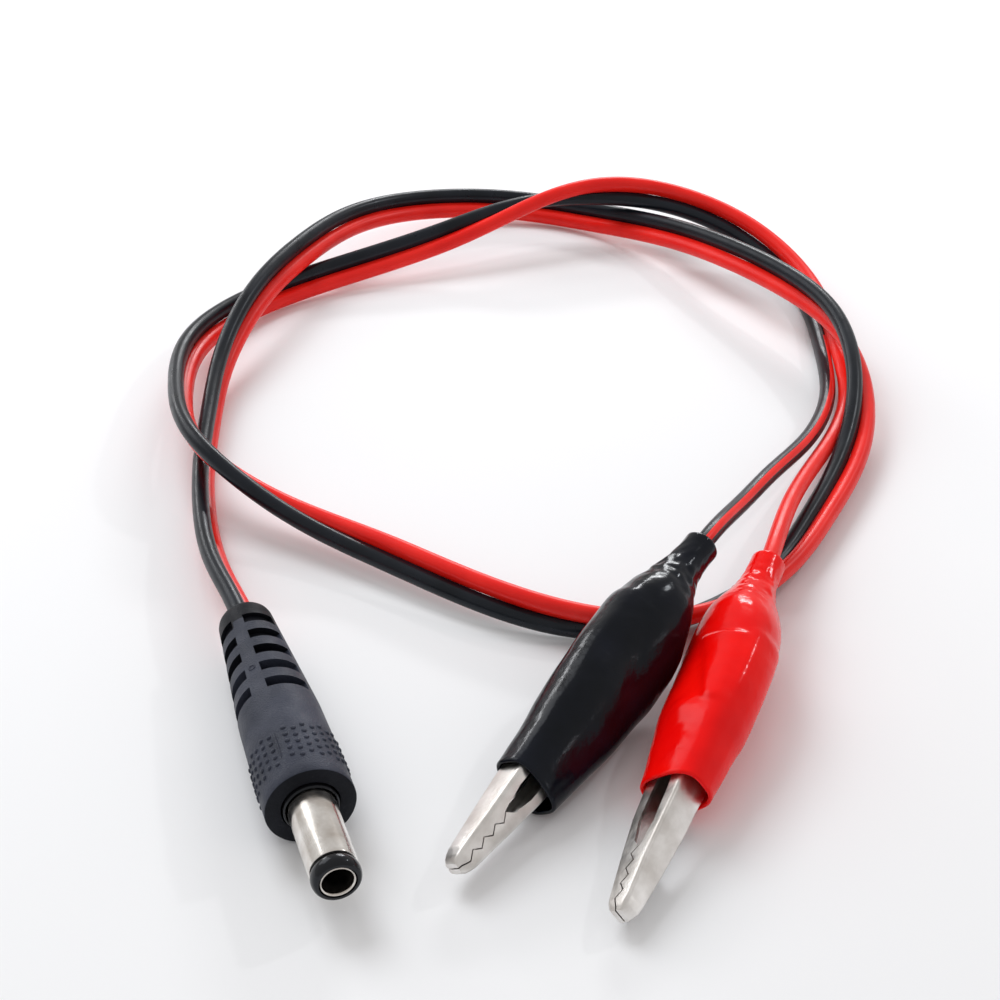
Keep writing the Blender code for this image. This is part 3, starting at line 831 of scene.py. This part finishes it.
def build_barrel(stuff):
    """The collar, the sleeve, the nose ring and the contact tube, each turned from its outline."""
    plug = plug_matrix()
    tip = BARREL_LENGTH
    bore = SLEEVE_RADIUS + 0.12
    collar = [
        (bore, 0.3), (bore + 0.05, 0.42), (bore + 0.13, 0.47), (COLLAR_RADIUS - 0.09, 0.42),
        (COLLAR_RADIUS - 0.02, 0.3), (COLLAR_RADIUS, 0.1), (COLLAR_RADIUS, -14), (1.0, -14),
        (1.0, -8.6), (bore, -8.6),
    ]
    mold = turned("plug_collar", collar, [stuff["insulator"]], plug)
    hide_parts("plug_inner_mold")

    inside = SLEEVE_RADIUS - 0.3
    end = tip - 2.0
    profile = [
        (inside, end), (SLEEVE_RADIUS - 0.12, end), (SLEEVE_RADIUS - 0.03, end - 0.03),
        (SLEEVE_RADIUS, end - 0.12), (SLEEVE_RADIUS, -8), (inside, -8),
    ]
    sleeve = turned("plug_sleeve_tube", profile, [stuff["turned"]], plug, steps=128)
    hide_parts("plug_sleeve")

    hollow, liner = CONTACT_RADIUS + 0.1, inside - 0.1
    nose = [(hollow, tip - 0.05)]
    for i in range(13):
        angle = math.radians(80 - 13.4 * i)
        nose.append((2.28 + 0.5 * math.cos(angle), tip - 1.02 + 0.98 * math.sin(angle)))
    nose += [(liner, tip - 1.9), (liner, -6), (hollow, -6)]
    ring = turned("plug_nose_ring", nose, [stuff["insulator"]], plug, steps=128, sharp=60)
    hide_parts("plug_tip_ring")

    core = CONTACT_RADIUS - 0.3
    contact = [
        (0, -7.5), (core, -7.5), (core, tip - 0.4), (core + 0.03, tip - 0.22),
        (core + 0.12, tip - 0.13), (CONTACT_RADIUS - 0.08, tip - 0.12), (CONTACT_RADIUS, tip - 0.2),
        (CONTACT_RADIUS, -8.2), (0.7, -8.2), (0.7, -17), (0, -17),
    ]
    # The floor and inner wall of the contact tube take the dark metal, which paints the shade of the deep
    # bore.
    tube = turned(
        "plug_contact_tube", contact, [stuff["turned"], stuff["bore"]], plug, closed=False, steps=128,
        number=lambda k: 1 if k < 2 else 0,
    )
    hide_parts("plug_center_contact")
    for piece in (mold, sleeve, ring, tube):
        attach(piece, "lead")


# ---------------------------------------------------------------- the clips


def jaw_edge(x, sign):
    """Height of a wall's edge; the teeth of the fixed jaw (sign -1) fill the gaps of the moving one."""
    if x < TEETH_START:
        return value_at(JAW_EDGE, x)
    teeth = [(TEETH_START, TEETH_START_HEIGHT * sign)]
    for i in reversed(range(TOOTH_POINTS)):
        teeth.append((TOOTH_FIRST - i, TOOTH_DEPTH * (-1) ** (i + 1)))
    teeth.append((TEETH_END, 0.0))
    return sign * value_at(teeth, x) + JAW_GAP / 2


def build_jaw(name, colour, sign, half_widths, stuff):
    """One stamped channel with rounded folds, toothed walls, ears at the pivot and a handle."""
    clip = clip_matrix(colour)
    fixed_xs = {x for table in (JAW_BACK, half_widths, JAW_EDGE) for x, _ in table}
    fixed_xs |= {TOOTH_FIRST - i for i in range(TOOTH_POINTS)}
    xs = sorted(fixed_xs | {float(x) for x in np.linspace(JAW_START, JAW_TIP, 43)})
    rings, hollow = [], []
    for x in xs:
        half, back = value_at(half_widths, x), value_at(JAW_BACK, x)
        edge = jaw_edge(x, sign)
        outline = rounded([(half, edge), (half, back), (-half, back), (-half, edge)], [0, 0.5, 0.5, 0], 5)
        rings.append([(x, y, sign * z) for y, z in outline])
        if x <= HOLLOW_END:
            inner, roof = half - JAW_WALL, back - JAW_WALL
            box = [(inner, -9), (inner, roof), (-inner, roof), (-inner, -9)]
            hollow.append([(x, y, sign * z) for y, z in rounded(box, [0, 0.4, 0.4, 0], 4)])
    hollow[0] = [(JAW_START - 1, y, z) for _, y, z in hollow[0]]
    jaw = lofted(name, rings, [stuff["jaw"]], clip)
    cut(jaw, lofted("jaw_hollow", hollow, [], clip))
    angles = full_turn(ROUND_SIDES)
    circle = [(HOLE_RADIUS * math.cos(a), HOLE_RADIUS * math.sin(a)) for a in angles]
    hole = [[(x, y, z) for x, z in circle] for y in (-5, 5)]
    cut(jaw, lofted("jaw_hole", hole, [], clip))
    return jaw


def build_crimp(colour, jaw):
    """Joins a tongue and a crimp barrel for the wire to the back of the fixed jaw."""
    clip = clip_matrix(colour)
    centre = crimp_centre(colour)
    under = centre - 1.18
    path = [(-14.2, -4.0), (-15.2, -3.95), (-17.2, under), (-20.3, under)]
    rings = [[(x, -0.9, z), (x, 0.9, z), (x, 0.9, z + 0.4), (x, -0.9, z + 0.4)] for x, z in path]
    cut(jaw, lofted("tongue", rings, [], clip), "UNION")
    angles = full_turn(ROUND_SIDES)
    for name, radius, ends, how in (
        ("barrel", CRIMP_RADIUS, (-20.6, -17.4), "UNION"),
        ("bore", CRIMP_BORE, (-21.6, -16.8), "DIFFERENCE"),
    ):
        circle = [(radius * math.cos(a), centre + radius * math.sin(a)) for a in angles]
        bar = [[(x, y, z) for y, z in circle] for x in ends]
        cut(jaw, lofted(name, bar, [], clip), how)


def boot_shift(values, x):
    """How far the boot's middle line is bent along Z at x."""
    places = (NECK_END + 5, -11, 6)
    return float(np.interp(x, places, (values["neck_shift"], 0, values["mouth_shift"])))


def bell(distance, width):
    """1 at a distance of 0, falling off smoothly over width."""
    return math.exp(-((distance / width) ** 2))


def rise(value, steepness):
    """A smooth step up from 0 to 1 where value passes 0."""
    return 1 / (1 + math.exp(-value * steepness))


def boot_rings(colour, grow):
    """Rings of the boot's skin, moved outwards by grow, with the metal's relief and the neck's wrinkles."""
    values = CLIPS[colour]
    slide, mouth = values["slide"], values["mouth"]
    start = NECK_END + slide
    places, *widths = np.array(BOOT_SECTIONS).T
    red = colour == "red"
    rings = []
    for x in np.linspace(start, mouth, BOOT_RINGS):
        near = [x - slide + step for step in (-1.2, -0.6, 0, 0.6, 1.2)]
        along, across, square = (float(np.mean(np.interp(near, places, width))) for width in widths)
        shift = boot_shift(values, x)
        ring = []
        for angle in full_turn(BOOT_SIDES):
            c, s = math.cos(angle), math.sin(angle)
            y = math.copysign(abs(c) ** (2 / square), c) * across
            z = math.copysign(abs(s) ** (2 / square), s) * along
            outward = Vector((0, y / across**2, z / along**2)).normalized()
            relief = handle_relief(x, y, z)
            relief += 0.42 * bell(x + 1.2, 1.7) * bell(z, 1.7) * (1 if red else 0.35)
            relief += side_relief(x, z) * (0.38 if red and y < 0 else 0.06)
            wave = noise.noise(Vector((x * 0.22, y * 0.3, z * 0.3 + (7 if red else 0))))
            tight = bell(x - start - 6.5, 4.0)
            crease = noise.noise(Vector((x * 0.95, c * 2.4, s * 2.4 + 31)))
            fold = bell(c + 0.1 + 0.12 * math.sin(x * 1.7), 0.17) * (1 if s > 0 else 0)
            relief += 0.10 * wave + tight * (0.16 * crease + 0.20 * fold)
            point = Vector((x, y, z + shift)) + outward * (grow + relief)
            ring.append(tuple(point))
        rings.append(ring)
    return rings


def side_relief(x, z):
    """The outline of the folded handle under the skin, seen from the rivet's side."""
    ends = rise(x + 13.4, 7) * rise(-(x + 2.0), 5)
    low = -0.9 + 0.32 * (x + 13)
    return ends * rise(z - low, 7) * rise(4.4 - z, 3)


def handle_relief(x, y, z):
    """How far a handle's flat back pushes the skin out."""
    if abs(z) <= 2.0:
        return 0.0
    return 0.30 * rise(x + 14.6, 3.2) * rise(-(x + 4.0), 1.1) * rise(2.4 - abs(y), 4.5)


def build_boot(colour, stuff):
    """The soft sleeve, as one closed skin with rounded rims."""
    clip = clip_matrix(colour)
    outer = boot_rings(colour, 0.0)
    inner = boot_rings(colour, -BOOT_WALL)

    def rim(a, b, way):
        """Rings that carry the skin round an end of the boot, from ring a to ring b."""
        rings = []
        for t in (0.25, 0.5, 0.75):
            out = math.sin(math.pi * t) * BOOT_WALL * 0.45 * way
            between = [(p[0] + out, *(p[k] * (1 - t) + q[k] * t for k in (1, 2))) for p, q in zip(a, b)]
            rings.append(between)
        return rings

    rings = outer + rim(outer[-1], inner[-1], 1) + inner[::-1] + rim(inner[0], outer[0], -1)
    points = [point for ring in rings for point in ring]
    faces = ring_faces(len(rings), BOOT_SIDES, closed=True)
    boot = mesh_from(colour + "_boot_skin", points, faces, [stuff[colour + "_boot"]], clip, sharp=80)
    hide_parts(colour + "_clip_boot")
    lift = Vector((0.25, 0, 1)).normalized()
    low, high = (world_mm(clip, tuple(lift * reach)) for reach in BOOT_BLEND)
    tuple(Vector(low) * MM)
    tuple(Vector(high) * MM)
    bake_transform(boot)


def build_spring(colour, stuff):
    """A torsion spring round the rivet, with an upper and a lower leg."""
    clip = clip_matrix(colour)
    foot = Vector(SPRING_FOOT)
    reach = math.atan2(foot.y, foot.x) - math.acos(SPRING_RADIUS / foot.length)
    sweep = 2 * reach + 4 * math.pi
    points = [(foot.x, SPRING_HALF_WIDTH, foot.y)]
    for i in range(SPRING_POINTS):
        share = i / (SPRING_POINTS - 1)
        angle = reach - sweep * share
        across = SPRING_HALF_WIDTH * (1 - 2 * share)
        points.append((SPRING_RADIUS * math.cos(angle), across, SPRING_RADIUS * math.sin(angle)))
    points.append((foot.x, -SPRING_HALF_WIDTH, -foot.y))
    centres = np.array(points)
    heading = unit(np.gradient(centres, axis=0))
    angles = full_turn(SPRING_SIDES)
    rings = []
    for centre, ahead in zip(centres, heading):
        side = np.cross(ahead, (0, 1, 0))
        side /= np.linalg.norm(side)
        third = np.cross(ahead, side)
        rings.append(
            [tuple(centre + SPRING_WIRE * (math.cos(a) * side + math.sin(a) * third)) for a in angles]
        )
    spring = lofted(colour + "_spring_wire", rings, [stuff["wire_steel"]], clip)
    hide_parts(colour + "_clip_spring")
    low, high = (world_mm(clip, (0, 0, reach)) for reach in SPRING_BLEND)
    tuple(Vector(low) * MM)
    tuple(Vector(high) * MM)
    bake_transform(spring)


def build_clip(colour, stuff):
    fixed = build_jaw(colour + "_jaw_fixed", colour, -1, INNER_HALF, stuff)
    build_crimp(colour, fixed)
    moving = build_jaw(colour + "_jaw_moving", colour, 1, OUTER_HALF, stuff)
    for jaw, node, body in (
        (fixed, "_clip_fixed_jaw", "lead"),
        (moving, "_clip_moving_jaw", colour + "_jaw"),
    ):
        soften(jaw, angle=40)
        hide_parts(colour + node)
        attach(jaw, body)
    build_boot(colour, stuff)
    build_spring(colour, stuff)


def dress_cad(stuff):
    """The rivets and the bared strands keep their CAD solids and get a finish."""
    finish = {"rivet": "turned", "strands": "copper"}
    for name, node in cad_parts.items():
        for key, material in finish.items():
            if key in name:
                node.data.materials.clear()
                node.data.materials.append(stuff[material])


def main():
    build_camera()
    stuff = build_materials()
    samples = pair_samples()
    for colour in ("black", "red"):
        build_conductor(colour, samples, stuff)
    build_light()
    build_floor()
    build_overmold(stuff)
    build_grip(stuff)
    build_barrel(stuff)
    for colour in ("black", "red"):
        build_clip(colour, stuff)
    dress_cad(stuff)


main()
